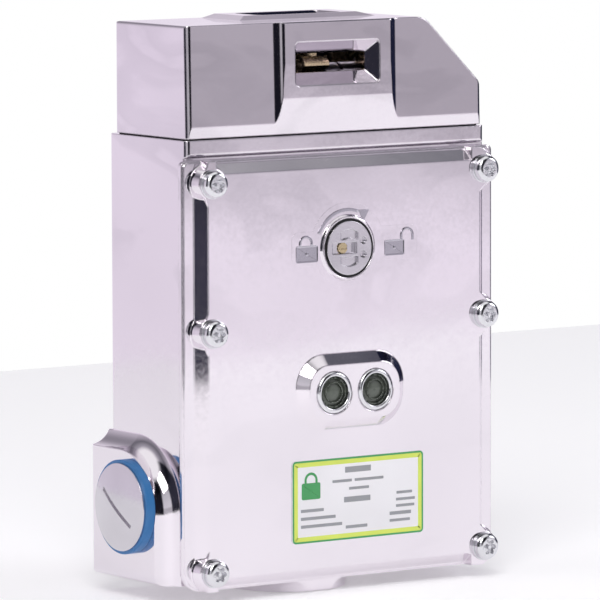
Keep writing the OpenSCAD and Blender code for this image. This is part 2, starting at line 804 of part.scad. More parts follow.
module lamp_rings() color([0.8, 0.8, 0.83]) {
    for (x = [-1, 1]) translate([pad_x + x * lamp_pitch / 2, y_pad + ring_seat, zp]) rotate([90, 0, 0])
        rotate_extrude() round_rect([lamp_open_d / 2, 0], [lamp_ring_d / 2, ring_seat + ring_proud],
            [0, 0, ring_round, ring_round / 2]);
}

module lamp_lenses() color([0.2, 0.24, 0.21]) {
    rise = 0.8;
    ball_r = (lamp_open_d * lamp_open_d / 4 + rise * rise) / (2 * rise);
    for (x = [-1, 1]) translate([pad_x + x * lamp_pitch / 2, y_pad + lens_inset + lens_t, zp]) rotate([90, 0, 0])
        intersection() {
            cylinder(r = lamp_open_d / 2 - ring_fit / 2, h = lens_t);
            translate([0, 0, lens_t - ball_r]) sphere(r = ball_r, $fn = 96);
        }
}

module lamp_board() color([0.1, 0.35, 0.2]) {
    difference() {
        front_extrude(y_board + board_t, y_board)
            round_rect([pad_x - board_hw, zp - board_h / 2], [pad_x + board_hw, zp + board_h / 2], [1, 1, 1, 1]);
        for (x = [-1, 1]) front_cyl([pad_x + x * board_screw_x, y_board + board_t + 1, zp], 1.1, board_t + 2);
    }
    lamp_l = y_board - (y_pad + lens_inset + lens_t) - air;
    for (x = [-1, 1]) {
        front_cyl([pad_x + x * lamp_pitch / 2, y_board + eps, zp], lamp_r + 0.5, 0.6);
        translate([pad_x + x * lamp_pitch / 2, y_board + eps, zp]) rotate([90, 0, 0])
            pan_head(2 * lamp_r, lamp_l);
    }
    translate([pad_x - 6, y_board + board_t - eps, zp - 7]) cube([12, 4, 5]);
}

module board_screws() color([0.7, 0.7, 0.72]) {
    for (x = [-1, 1]) translate([pad_x + x * board_screw_x, y_board + board_t, zp]) rotate([-90, 0, 0]) {
        cylinder(r = 2, h = 1.3);
        translate([0, 0, -board_t - board_post_h]) cylinder(r = board_screw_r, h = board_t + board_post_h);
    }
}

module label() color([0.95, 0.95, 0.9]) {
    front_extrude(y_panel, y_panel - label_t)
        round_rect([label_left, z_lid + label_low], [label_left + label_w, z_lid + label_low + label_h],
            [1.2, 1.2, 1.2, 1.2]);
}

// Release disc with a wide bar recess, two crescents and two blind holes
module release_spindle() color([0.72, 0.72, 0.76]) {
    bar = [8.6, 3.3, 1.4];
    l = y_cam_front - (y_disc + disc_t);
    difference() {
        translate([release_x, y_disc, zr]) rotate([-90, 0, 0]) difference() {
            union() {
                cylinder(r = release_d / 2, h = disc_t);
                translate([0, 0, disc_t - eps]) cylinder(r = shaft_r, h = l + eps);
            }
            translate([-1.7, 0, 0]) cube([bar[0], bar[1], 2 * bar[2]], center = true);
            for (s = [-1, 1]) crescent(s);
            for (s = [-1, 1]) translate([4.9, s * 2, -1]) cylinder(r = 1.1, h = 2);
            translate([-1.7, 0, -1]) cylinder(r = core_r() + 0.1, h = 4.2);
        }
        clip_groove();
    }
}

function core_r() = 1.6;

// Crescent recess above or below the bar
module crescent(s) {
    intersection() {
        translate([0, 0, -1]) difference() {
            cylinder(r = 5.4, h = 1.8);
            translate([0, 0, -1]) cylinder(r = 2.9, h = 4);
        }
        translate([-3, s > 0 ? 2.4 : -6.4, -2]) cube([6, 4, 4]);
    }
}

module release_core() color([0.75, 0.6, 0.35]) {
    translate([release_x - 1.7, y_disc + 0.9, zr]) rotate([-90, 0, 0]) difference() {
        cylinder(r = core_r(), h = 2.3);
        cube([2 * core_r() + 1, 0.6, 0.8], center = true);
    }
}

function clip_y() = y_lid_in + release_boss_back + air;

module clip_groove() {
    translate([release_x, clip_y() - 0.1, zr]) rotate([-90, 0, 0]) difference() {
        cylinder(r = shaft_r + 1, h = clip_t + 0.2);
        translate([0, 0, -1]) cylinder(r = shaft_r - 0.8, h = clip_t + 2);
    }
}

module release_clip() color([0.35, 0.35, 0.37]) {
    translate([release_x, clip_y(), zr]) rotate([-90, 0, 0]) difference() {
        cylinder(r = clip_r, h = clip_t);
        translate([0, 0, -1]) cylinder(r = shaft_r - 0.75, h = clip_t + 2);
        translate([-(shaft_r - 1.4), -clip_r - 1, -1]) cube([2 * (shaft_r - 1.4), clip_r + 1, clip_t + 2]);
    }
}

// Cup of rubber behind and round the disc
module release_seal() color([0.1, 0.1, 0.1]) {
    rim_drop = 0.6;
    rim_h = disc_t - rim_drop;
    translate([release_x, y_disc + rim_drop, zr]) rotate([-90, 0, 0]) difference() {
        cylinder(r = release_d / 2 + disc_gap - run_fit, h = rim_h + run_fit + release_seal_t);
        translate([0, 0, -1]) cylinder(r = release_d / 2 + run_fit, h = rim_h + run_fit + 1);
        cylinder(r = shaft_r + run_fit, h = big);
    }
}

module release_cam() color([0.62, 0.62, 0.66]) {
    translate([release_x, y_cam_front, zr]) rotate([-90, 0, 0]) {
        cylinder(r = cam_plate_r, h = cam_plate_t);
        translate([release_throw, 0, cam_plate_t - eps])
            cylinder(r = pin_r, h = y_pin_end - y_cam_front - cam_plate_t + eps);
    }
}

// Plan outline of the head's front, drawn with the wing face on Y = 0 and the
// front towards -Y: flat wings, curved steps and the flat centre block
module head_front_plan(depth) {
    x_join = block_hw + step_out;
    x_wing = block_hw + block_step;
    round_rect([-head_w / 2, 0], [head_w / 2, depth], [head_edge_r, head_edge_r, 0, 0]);
    translate([-block_hw, -block_rise]) square([block_w, block_rise + 1]);
    for (s = [0, 1]) mirror([s, 0]) {
        intersection() {
            translate([block_hw, -block_rise + convex_r]) circle(r = convex_r, $fn = 128);
            translate([block_hw - eps, -block_rise]) square([step_out + eps, block_rise + 1]);
        }
        translate([block_hw - eps, -block_rise + step_back]) square([step_out + eps, block_rise - step_back + 1]);
        difference() {
            translate([x_join - eps, -block_rise + step_back])
                square([x_wing - x_join + eps, block_rise - step_back + 0.5]);
            translate([x_wing, -concave_r]) circle(r = concave_r, $fn = 256);
        }
    }
}

// Front view outline: bevel at the upper right with rounded ends
module head_front_view() {
    a = head_w / 2 - bevel_leg;
    b = z_top - bevel_leg;
    t = bevel_r * tan(22.5);
    difference() {
        round_rect([-head_w / 2, z_head], [head_w / 2, z_top], [0, 0, 0, head_side_r / 5]);
        polygon([[a, z_top + 1], [a, z_top], [head_w / 2, b], [head_w / 2 + 1, b], [head_w / 2 + 1, z_top + 1]]);
        bevel_end([a, z_top], [-t, 0], [t * cos(45), -t * sin(45)], [a - t, z_top - bevel_r]);
        bevel_end([head_w / 2, b], [0, -t], [-t * cos(45), t * sin(45)], [head_w / 2 - bevel_r, b - t]);
    }
}

// Sliver between a corner and the round that replaces it
module bevel_end(p, u, v, c) {
    difference() {
        polygon([p + u, p, p + v, c]);
        translate(c) circle(r = bevel_r, $fn = 128);
    }
}

module head_block() {
    intersection() {
        translate([0, y_wing_top, z_top]) rotate([-head_lean, 0, 0]) translate([0, 0, -head_h - 5])
            linear_extrude(head_h + 10) head_front_plan(head_d + 5);
        translate([0, 0, z_head]) linear_extrude(head_h)
            round_rect([-head_w / 2, -big], [head_w / 2, -head_back], [0, 0, head_rear_r, head_rear_r]);
        front_extrude(0, -big) head_front_view();
        side_extrude(-head_w / 2, head_w / 2)
            round_rect([head_back, z_head], [-y_wing_top + block_rise + head_top_r / 4, z_top],
                [head_rear_r / 2, 0, head_top_r, head_rear_r]);
    }
}

// Everything in front of the leaning plane that undercuts the front
module head_undercut() {
    translate([-big, y_undercut, z_head + undercut_wing]) rotate([undercut_slope, 0, 0])
        translate([0, -big, -big]) cube([2 * big, big, 2 * big]);
}

// Raised land round the top slot, with sloping sides
module head_land() {
    intersection() {
        front_extrude(0, -big) polygon([[-land_hw - land_slope, z_top - 1], [-land_hw - land_slope, z_top],
            [-land_hw, z_top + land_h], [land_hw, z_top + land_h], [land_hw + land_slope, z_top],
            [land_hw + land_slope, z_top - 1]]);
        side_extrude(-big, big) polygon([[land_y0 - 1, z_top - 1], [land_y0 - 1, z_top], [land_y0, z_top + land_h],
            [land_y1, z_top + land_h], [land_y1 + land_slope, z_top], [land_y1 + land_slope, z_top - 1]]);
    }
}

// Funnel mouth narrowing to the slot, built from two wedge outlines cut together,
// opening towards +Z in its own frame
module funnel(d) {
    w0 = slot_w / 2;
    w1 = funnel_w / 2;
    h0 = slot_h / 2;
    h1 = funnel_h / 2;
    intersection() {
        rotate([90, 0, 0]) translate([0, 0, -big]) linear_extrude(2 * big)
            polygon([[-w0, -eps], [w0, -eps], [w1, d], [w1, d + 3], [-w1, d + 3], [-w1, d]]);
        rotate([90, 0, 90]) translate([0, 0, -big]) linear_extrude(2 * big)
            polygon([[-h0, -eps], [h0, -eps], [h1, d], [h1, d + 3], [-h1, d + 3], [-h1, d]]);
        translate([0, 0, -1]) linear_extrude(d + 5)
            round_rect([-w1, -h1], [w1, h1], [funnel_r, funnel_r, funnel_r, funnel_r]);
    }
}

module head() color([0.8, 0.8, 0.83]) {
    top_funnel_d = funnel_d / 2;
    difference() {
        union() {
            difference() {
                head_block();
                head_undercut();
            }
            head_land();
        }
        translate([0, y_block_face + funnel_d, z_slot]) rotate([90, 0, 0]) funnel(funnel_d);
        box([-slot_w / 2, y_block_face + funnel_d - 1, z_slot - slot_h / 2],
            [slot_w / 2, yc, z_slot + slot_h / 2]);
        translate([0, -top_slot_y, z_top + land_h - top_funnel_d]) funnel(top_funnel_d);
        box([-slot_w / 2, -top_slot_y - slot_h / 2, zc], [slot_w / 2, -top_slot_y + slot_h / 2, z_top]);
        side_cyl([-cavity_hw, yc, zc], cavity_r, 2 * cavity_hw);
        box([-cavity_hw, -bar_y1 - bar_room, z_head - 1], [cavity_hw, -bar_y0 + bar_room, zc]);
        side_cyl([-cavity_hw - shaft_ext, yc, zc], cam_shaft_d / 2 + run_fit, 2 * (cavity_hw + shaft_ext));
        for (x = head_screws_at(), y = head_screw_ys())
            translate([x, y, z_head - 1]) cylinder(r = screw_core_d / 2, h = 11);
    }
}

module head_gasket() color([0.08, 0.08, 0.09]) {
    inset = 0.5;
    translate([0, 0, z_neck]) linear_extrude(head_gasket_t) difference() {
        round_rect([-head_w / 2 + inset, y_wing_foot + inset + 0.5], [head_w / 2 - inset, -head_back - inset],
            [head_edge_r, head_edge_r, head_rear_r, head_rear_r]);
        translate([0, yp]) circle(r = bush_flange_r + 0.5);
        for (x = head_screws_at(), y = head_screw_ys()) translate([x, y]) circle(r = screw_hole_d / 2);
    }
}

module head_screws() color([0.6, 0.6, 0.63]) {
    for (x = head_screws_at(), y = head_screw_ys()) translate([x, y, z_head_screw]) {
        translate([0, 0, -screw_d]) difference() {
            cylinder(r = head_screw_r, h = screw_d);
            translate([0, 0, -1]) cylinder(r = 1.7, h = 3, $fn = 6);
        }
        cylinder(r = shank_r, h = z_head + 9 - z_head_screw);
    }
}

// Drum: a hub on the shaft with two eccentric discs
module cam_drum() color([0.25, 0.25, 0.27]) {
    w = 5;
    x0 = lug_w / 2 + 0.6;
    difference() {
        union() {
            side_cyl([-cavity_hw + 0.5, yc, zc], hub_r, 2 * cavity_hw - 1);
            for (x = [x0, -x0 - w]) side_cyl([x, yc + cam_throw * sin(disc_rest), zc - cam_throw * cos(disc_rest)],
                cam_disc_r, w);
        }
        side_cyl([-cavity_hw, yc, zc], cam_shaft_d / 2 + run_fit, 2 * cavity_hw);
    }
}

// Ring with four lugs between the discs: a lug of each pair is pushed by the
// tip of the key, the other one rises into the key's window
module cam_lugs() color([0.78, 0.66, 0.38]) {
    t = 3.2;
    difference() {
        union() {
            side_cyl([-lug_w / 2, yc, zc], hub_r + 1.8, lug_w);
            for (a = lug_turns) translate([-lug_w / 2, yc, zc]) rotate([-a, 0, 0])
                translate([0, -lug_reach, -t / 2]) cube([lug_w, lug_reach, t]);
        }
        side_cyl([-cavity_hw, yc, zc], hub_r + run_fit / 2, 2 * cavity_hw);
        translate([0, yc, zc]) rotate([0, 90, 0]) translate([0, 0, -lug_w]) difference() {
            cylinder(r = lug_reach + 3, h = 2 * lug_w);
            translate([0, 0, -1]) cylinder(r = lug_reach, h = 2 * lug_w + 2);
        }
    }
}

module cam_shaft() color([0.7, 0.7, 0.73]) {
    side_cyl([-cavity_hw - shaft_ext, yc, zc], cam_shaft_d / 2, 2 * (cavity_hw + shaft_ext));
}

module plunger() color([0.68, 0.68, 0.71]) {
    box([-bar_hw, -bar_y1, z_bar - bar_t], [bar_hw, -bar_y0, z_bar]);
    translate([0, yp, z_rod_end]) cylinder(r = rod_r, h = z_bar - z_rod_end - bar_t + eps);
    translate([0, yp, z_shoulder - shoulder_t]) cylinder(r = shoulder_d / 2, h = shoulder_t);
}

module plunger_bush() color([0.72, 0.58, 0.32]) {
    z1 = z_neck + head_gasket_t;
    translate([0, yp, 0]) difference() {
        union() {
            translate([0, 0, z_collar - wall - bush_flange_t]) cylinder(r = bush_flange_r, h = bush_flange_t);
            translate([0, 0, z_collar - wall - eps]) cylinder(r = bush_r, h = z1 - z_collar + wall + eps);
        }
        translate([0, 0, z_collar - wall - bush_flange_t - 1]) cylinder(r = rod_r + run_fit, h = big);
    }
}

// Points of a round wire swept along a helix, with a flat quarter turn at both ends
function coil_z(k, n, pitch, l, wire) = min(max((k / n - 0.25) * pitch, 0), l - 2 * wire) + wire;
function coil_ring(a, r, z, wire, m) =
    [for (j = [0 : m - 1]) let (b = 360 * j / m, q = r + wire * cos(b)) [q * cos(a), q * sin(a), z + wire * sin(b)]];

// Compression spring standing on Z = 0
module coil_spring(r, wire, l, turns) {
    n = 16;
    m = 6;
    steps = turns * n;
    pitch = (l - 2 * wire) / (turns - 0.5);
    rings = [for (k = [0 : steps]) coil_ring(360 * k / n, r, coil_z(k, n, pitch, l, wire), wire, m)];
    pts = [for (q = rings) each q];
    sides = [for (k = [0 : steps - 1], j = [0 : m - 1]) let (p = k * m + j, q = k * m + (j + 1) % m)
        each [[p, q, q + m], [p, q + m, p + m]]];
    caps = [[for (j = [m - 1 : -1 : 0]) j], [for (j = [0 : m - 1]) steps * m + j]];
    polyhedron(points = pts, faces = concat(sides, caps), convexity = 10);
}

module plunger_spring() color([0.6, 0.62, 0.66]) {
    z0 = z_bracket + bracket_t;
    translate([0, yp, z0 + 0.05]) coil_spring(spring_r, spring_wire_r, z_shoulder - shoulder_t - z0 - 0.1, 6);
}

// Angle bracket on the chassis plate that seats the plunger spring
module spring_bracket() color([0.6, 0.62, 0.65]) {
    difference() {
        union() {
            box([-bracket_hw, -plunger_y - shoulder_d / 2 + 0.6, z_bracket], [bracket_hw, y_plate, z_bracket + bracket_t]);
            box([-bracket_hw, y_plate - bracket_t, z_bracket], [bracket_hw, y_plate, z_bracket + 9]);
        }
        translate([0, yp, z_bracket - 1]) cylinder(r = rod_r + air, h = bracket_t + 2);
        front_cyl([0, y_plate + 1, z_bracket + 5.4], m3_hole / 2, bracket_t + 2);
    }
}

// Fork that reaches round the rod and its spring, the lug that the release pushes, and the clamp
// block that holds the armature rod
module lock_bolt() color([0.66, 0.66, 0.7]) {
    x0 = fork_end - bolt_l;
    difference() {
        union() {
            box([x0, -bolt_y1, z_bolt], [fork_end, -bolt_y0, z_bolt + bolt_t]);
            box([x0, -bolt_y1, z_bolt], [bolt_lug_right, -bolt_y1 + bolt_lug_t, z_bolt + bolt_t]);
            box([bolt_lug_right - bolt_lug_w, -bolt_y1, bolt_lug_z], [bolt_lug_right, -bolt_y1 + bolt_lug_t, z_bolt + eps]);
            box([x0, -sol_y - 4, sol_z - clamp_h / 2], [x0 + clamp_l, -sol_y + 4, sol_z + clamp_h / 2]);
        }
        translate([-bolt_stroke, yp, z_bolt - 1]) cylinder(r = fork_slot_r, h = bolt_t + 2);
        side_cyl([x0 - 1, -sol_y, sol_z], arm_rod_r, clamp_l + 1);
    }
}

module armature() color([0.5, 0.5, 0.53]) {
    side_cyl([arm_left, -sol_y, sol_z], arm_r, sol_x1 - arm_left - 0.5);
    side_cyl([sol_x1 - 0.5 - eps, -sol_y, sol_z], arm_rod_r, fork_end - bolt_l + clamp_l - sol_x1 + 0.5);
}

module bolt_spring() color([0.6, 0.62, 0.66]) {
    x0 = sol_x0 + frame_t;
    translate([x0 + 0.05, -sol_y, sol_z]) rotate([0, 90, 0]) coil_spring(arm_r - 1.5, 0.4, arm_left - x0 - 0.1, 3);
}

// Frame bent from one strip: two end plates and a back, with two feet
module solenoid_frame() color([0.55, 0.57, 0.6]) {
    y1 = -sol_y - sol_h / 2;
    y0 = -sol_y + sol_h / 2;
    z0 = sol_z - sol_h / 2;
    z1 = sol_z + sol_h / 2;
    difference() {
        union() {
            box([sol_x0, y1, z0], [sol_x0 + frame_t, y0, z1]);
            box([sol_x1 - frame_t, y1, z0], [sol_x1, y0, z1]);
            box([sol_x0, y0 - frame_t, z0], [sol_x1, y0, z1]);
            box([-plate_hw + 2, y0 - eps, z0 + 2], [-plate_hw + 8, y_plate, z1 - 6]);
            box([sol_x1 - 5, y0 - eps, z0 + 2], [sol_x1 - 1, y_plate, z1 - 6]);
        }
        side_cyl([sol_x1 - frame_t - 1, -sol_y, sol_z], bob_in, frame_t + 2);
    }
}

module bobbin() color([0.15, 0.15, 0.16]) {
    x0 = sol_x0 + frame_t;
    x1 = sol_x1 - frame_t;
    difference() {
        union() {
            side_cyl([x0, -sol_y, sol_z], bob_out, x1 - x0);
            for (x = [x0, x1 - bob_flange_t]) intersection() {
                side_cyl([x, -sol_y, sol_z], bob_flange_r, bob_flange_t);
                box([x, -sol_y - bob_flange_r, sol_z - big], [x + bob_flange_t, -sol_y + sol_h / 2 - frame_t, sol_z + big]);
            }
        }
        side_cyl([x0 - 1, -sol_y, sol_z], bob_in, x1 - x0 + 2);
    }
}

module coil_winding() color([0.72, 0.4, 0.2]) {
    x0 = sol_x0 + frame_t + bob_flange_t;
    l = sol_l - 2 * frame_t - 2 * bob_flange_t;
    difference() {
        intersection() {
            side_cyl([x0, -sol_y, sol_z], coil_r, l);
            box([x0, -sol_y - big, sol_z - big], [x0 + l, -sol_y + sol_h / 2 - frame_t, sol_z + big]);
        }
        side_cyl([x0 - 1, -sol_y, sol_z], bob_out, l + 2);
    }
}

module chassis_plate() color([0.62, 0.64, 0.67]) {
    difference() {
        front_extrude(y_plate_back, y_plate)
            round_rect([-plate_hw, plate_z0], [plate_hw, plate_z1], [2, 2, 2, 2]);
        for (p = plate_posts) front_cyl([p[0], y_plate_back + 1, p[1]], m3_hole / 2, plate_t + 2);
        front_cyl([0, y_plate_back + 1, z_bracket + 5.4], m3_core / 2, plate_t + 2);
    }
}

module chassis_screws() color([0.7, 0.7, 0.73]) {
    for (p = concat(plate_posts, [[0, z_bracket + 5.4]])) {
        y = p[0] == 0 ? y_plate - bracket_t : y_plate;
        l = p[0] == 0 ? bracket_t + plate_t : plate_t + post_h - 1;
        translate([p[0], y, p[1]]) rotate([90, 0, 0]) difference() {
            pan_head(2 * m3_head_r, m3_head_h);
            translate([0, 0, m3_head_h]) cube([2 * m3_head_r + 1, 0.8, 1.6], center = true);
        }
        front_cyl([p[0], y + l, p[1]], m3_r, l + eps);
    }
}

module contact_block_actuator() color([0.82, 0.8, 0.74]) {
    y1 = yp - block_a_d / 2;
    difference() {
        box([-block_a_hw, y1, block_a_z0], [block_a_hw, y_plate, block_a_z1]);
        translate([0, yp, block_a_z0 + 4]) cylinder(r = button_a_r + well_gap, h = big);
        box([-9, yp - 3, block_a_z0 + 7], [9, yp + 3, block_a_z0 + 15]);
        for (x = [-9.5, 9.5], z = [block_a_z0 + 3, block_a_z1 - 3])
            front_cyl([x, y1 + 3, z], 1.8, 4);
    }
}

// Button with its bridge bar inside the block
module contact_carriage_actuator() color([0.9, 0.35, 0.2]) {
    z0 = block_a_z0 + 8;
    translate([0, yp, z0]) cylinder(r = button_a_r, h = z_rod_end - air - z0);
    box([-8, yp - 2.5, z0], [8, yp + 2.5, z0 + 2]);
}

module contact_block_lock() color([0.82, 0.8, 0.74]) {
    difference() {
        box([block_b_x0, -block_b_y, block_b_z0], [block_b_x1, y_plate, block_b_z1]);
        side_cyl([block_b_x0 + 8, button_b_y, button_b_z], button_b_r + well_gap, big);
        box([block_b_x0 + 8, button_b_y - 3, button_b_z - 5.4], [block_b_x0 + 17, button_b_y + 3, block_b_z1 + 1]);
        for (x = [block_b_x0 + 4, block_b_x1 - 4]) front_cyl([x, -block_b_y + 3, block_b_z0 + 3], 1.8, 4);
    }
}

module contact_carriage_lock() color([0.9, 0.35, 0.2]) {
    x0 = block_b_x0 + 9;
    side_cyl([x0, button_b_y, button_b_z], button_b_r, button_b_end - x0);
    box([x0, button_b_y - 2.4, button_b_z - 4.6], [x0 + 2, button_b_y + 2.4, button_b_z]);
}

module terminal_block() color([0.3, 0.36, 0.34]) {
    y1 = y_plate - term_d;
    difference() {
        box([-term_hw, y1, term_z0], [term_hw, y_plate, term_z0 + term_h]);
        for (i = [0 : poles - 1]) {
            x = (i - (poles - 1) / 2) * pole_pitch;
            front_cyl([x, y1 + 4, term_z0 + term_h / 2], term_screw_r + 0.3, 5);
            translate([x - 1.6, y1 + 6, term_z0 - 1]) cube([3.2, 3.6, 5]);
            translate([x - 1.6, y1 + 6, term_z0 + term_h - 4]) cube([3.2, 3.6, 5]);
        }
    }
}

module terminal_screws() color([0.78, 0.78, 0.8]) {
    y = y_plate - term_d + 4;
    for (i = [0 : poles - 1]) translate([(i - (poles - 1) / 2) * pole_pitch, y, term_z0 + term_h / 2])
        rotate([90, 0, 0]) difference() {
            cylinder(r = term_screw_r, h = 2.2);
            translate([0, 0, 2.2]) cube([2 * term_screw_r + 1, 0.7, 1.4], center = true);
        }
}

housing();
lid();
lid_gasket();
lid_screws();
lid_washers();
conduit_plug();
plug_seal();
lamp_rings();
lamp_lenses();
lamp_board();
board_screws();
label();
release_spindle();
release_core();
release_seal();
release_clip();
release_cam();
head();
head_gasket();
head_screws();
cam_drum();
cam_lugs();
cam_shaft();
plunger();
plunger_bush();
plunger_spring();
spring_bracket();
lock_bolt();
armature();
bolt_spring();
solenoid_frame();
bobbin();
coil_winding();
chassis_plate();
chassis_screws();
contact_block_actuator();
contact_carriage_actuator();
contact_block_lock();
contact_carriage_lock();
terminal_block();
terminal_screws();
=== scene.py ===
import bpy
from math import radians, sin, cos, pi
from mathutils import Vector, Matrix


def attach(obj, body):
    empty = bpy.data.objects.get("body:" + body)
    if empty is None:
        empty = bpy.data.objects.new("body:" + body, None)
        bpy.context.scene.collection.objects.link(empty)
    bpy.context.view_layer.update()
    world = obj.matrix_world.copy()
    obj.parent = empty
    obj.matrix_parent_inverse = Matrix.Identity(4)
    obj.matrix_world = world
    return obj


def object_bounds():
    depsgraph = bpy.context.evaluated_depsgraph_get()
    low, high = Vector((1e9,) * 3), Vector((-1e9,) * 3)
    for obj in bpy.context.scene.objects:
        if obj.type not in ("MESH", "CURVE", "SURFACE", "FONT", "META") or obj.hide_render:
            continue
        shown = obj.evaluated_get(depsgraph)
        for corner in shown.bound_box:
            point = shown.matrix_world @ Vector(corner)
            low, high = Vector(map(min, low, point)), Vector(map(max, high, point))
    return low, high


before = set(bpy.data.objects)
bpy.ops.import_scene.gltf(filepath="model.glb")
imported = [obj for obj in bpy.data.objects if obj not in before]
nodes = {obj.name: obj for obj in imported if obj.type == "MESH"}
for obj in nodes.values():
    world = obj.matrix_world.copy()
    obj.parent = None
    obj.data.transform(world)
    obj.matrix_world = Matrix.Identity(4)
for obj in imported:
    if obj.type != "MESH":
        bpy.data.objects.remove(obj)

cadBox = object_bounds()
mm = 0.001
print("frame loaded:", len(nodes), "pieces")


# camera, at the eye point of the picture
cameraSetup = {"target": (0.0, -0.0270, 0.0135), "toEye": (-0.5700, -0.8154, 0.10076),
               "distance": 1.7904, "lens": 367.4, "roll": 0.158, "shift": (-0.018, 0.0007)}

def placeCamera(setup):
    back = Vector(setup["toEye"]).normalized()
    right = Vector((0, 0, 1)).cross(back).normalized()
    up = back.cross(right)
    turn = radians(setup["roll"])
    right2 = right * cos(turn) - up * sin(turn)
    up2 = right * sin(turn) + up * cos(turn)
    eye = Vector(setup["target"]) + back * setup["distance"]
    bpy.ops.object.camera_add(location=eye)
    cam = bpy.context.object
    cam.name = "camera"
    cam.matrix_world = Matrix.Translation(eye) @ Matrix((right2, up2, back)).transposed().to_4x4()
    cam.data.lens = setup["lens"]
    cam.data.sensor_width = 36.0
    cam.data.shift_x, cam.data.shift_y = setup["shift"]
    cam.data.clip_start = 0.01
    cam.data.clip_end = 50.0
    bpy.context.scene.camera = cam

placeCamera(cameraSetup)


# room: pale floor, white surroundings with the dark strips that polished metal needs
roomSetup = {"floorSize": 1.1, "floorDrop": 0.0003, "floorGlow": 0.2, "floorColour": (0.97, 0.97, 0.98, 1),
             "floorRough": 0.7, "floorBack": -0.05}
white = (1.0, 1.0, 1.0)
offWhite = (1.0, 0.965, 1.0)
navy = (0.03, 0.035, 0.08)
black = (0.0, 0.0, 0.0)
stripBlack = (0.02, 0.02, 0.03)
stripGrey = (0.05, 0.05, 0.07)

# what stands round the object: (degrees from straight in front towards the left, colour)
aroundStops = [(-180, offWhite), (-138, offWhite), (-128, navy), (-62, navy), (-56, offWhite),
               (-29, offWhite), (-26, stripBlack), (12, stripBlack), (16, white), (52, white),
               (56, stripGrey), (92, stripGrey), (98, offWhite), (180, offWhite)]
# share of the side bands, which light the left side and the back
besideStops = [(-180, white), (-138, white), (-128, black), (98, black), (106, white), (180, white)]

# brightness by height: (degrees above the horizon, colour)
frontBands = [(-90, white), (-14, white), (-4.7, (0.97, 0.95, 1.0)), (-4.2, (0.5, 0.49, 0.52)),
              (3, (0.46, 0.45, 0.48)), (5, (0.7, 0.69, 0.73)), (24, (0.55, 0.55, 0.58)),
              (35, (0.12, 0.12, 0.14)), (48, (0.3, 0.3, 0.33)), (60, white), (90, white)]
sideBands = [(-90, white), (-14, white), (-3, (0.86, 0.82, 0.9)), (9, (0.84, 0.8, 0.87)),
             (24, (0.6, 0.58, 0.63)), (38, (0.16, 0.16, 0.18)), (50, (0.4, 0.4, 0.43)),
             (60, white), (90, white)]
lowAndHigh = [(-90, white), (-22, white), (-15, black), (50, black), (62, white), (90, white)]

def ramp(nt, stops):
    node = nt.nodes.new("ShaderNodeValToRGB")
    steps = node.color_ramp.elements
    while len(steps) > 1:
        steps.remove(steps[0])
    for i, (place, colour) in enumerate(stops):
        step = steps.new(place) if i else steps[0]
        step.position = place
        step.color = (*colour, 1.0)
    return node

def mathNode(nt, operation, a, b=None):
    node = nt.nodes.new("ShaderNodeMath")
    node.operation = operation
    for socket, value in zip(node.inputs, (a, b)):
        if value is None:
            continue
        if isinstance(value, (int, float)):
            socket.default_value = value
        else:
            nt.links.new(value, socket)
    return node.outputs[0]

def mixColour(nt, factor, a, b, blend="MIX"):
    node = nt.nodes.new("ShaderNodeMix")
    node.data_type = "RGBA"
    node.blend_type = blend
    for socket, value in ((node.inputs[0], factor), (node.inputs[6], a), (node.inputs[7], b)):
        if isinstance(value, (int, float)):
            socket.default_value = value
        elif isinstance(value, tuple):
            socket.default_value = (*value, 1.0)
        else:
            nt.links.new(value, socket)
    return node.outputs[2]

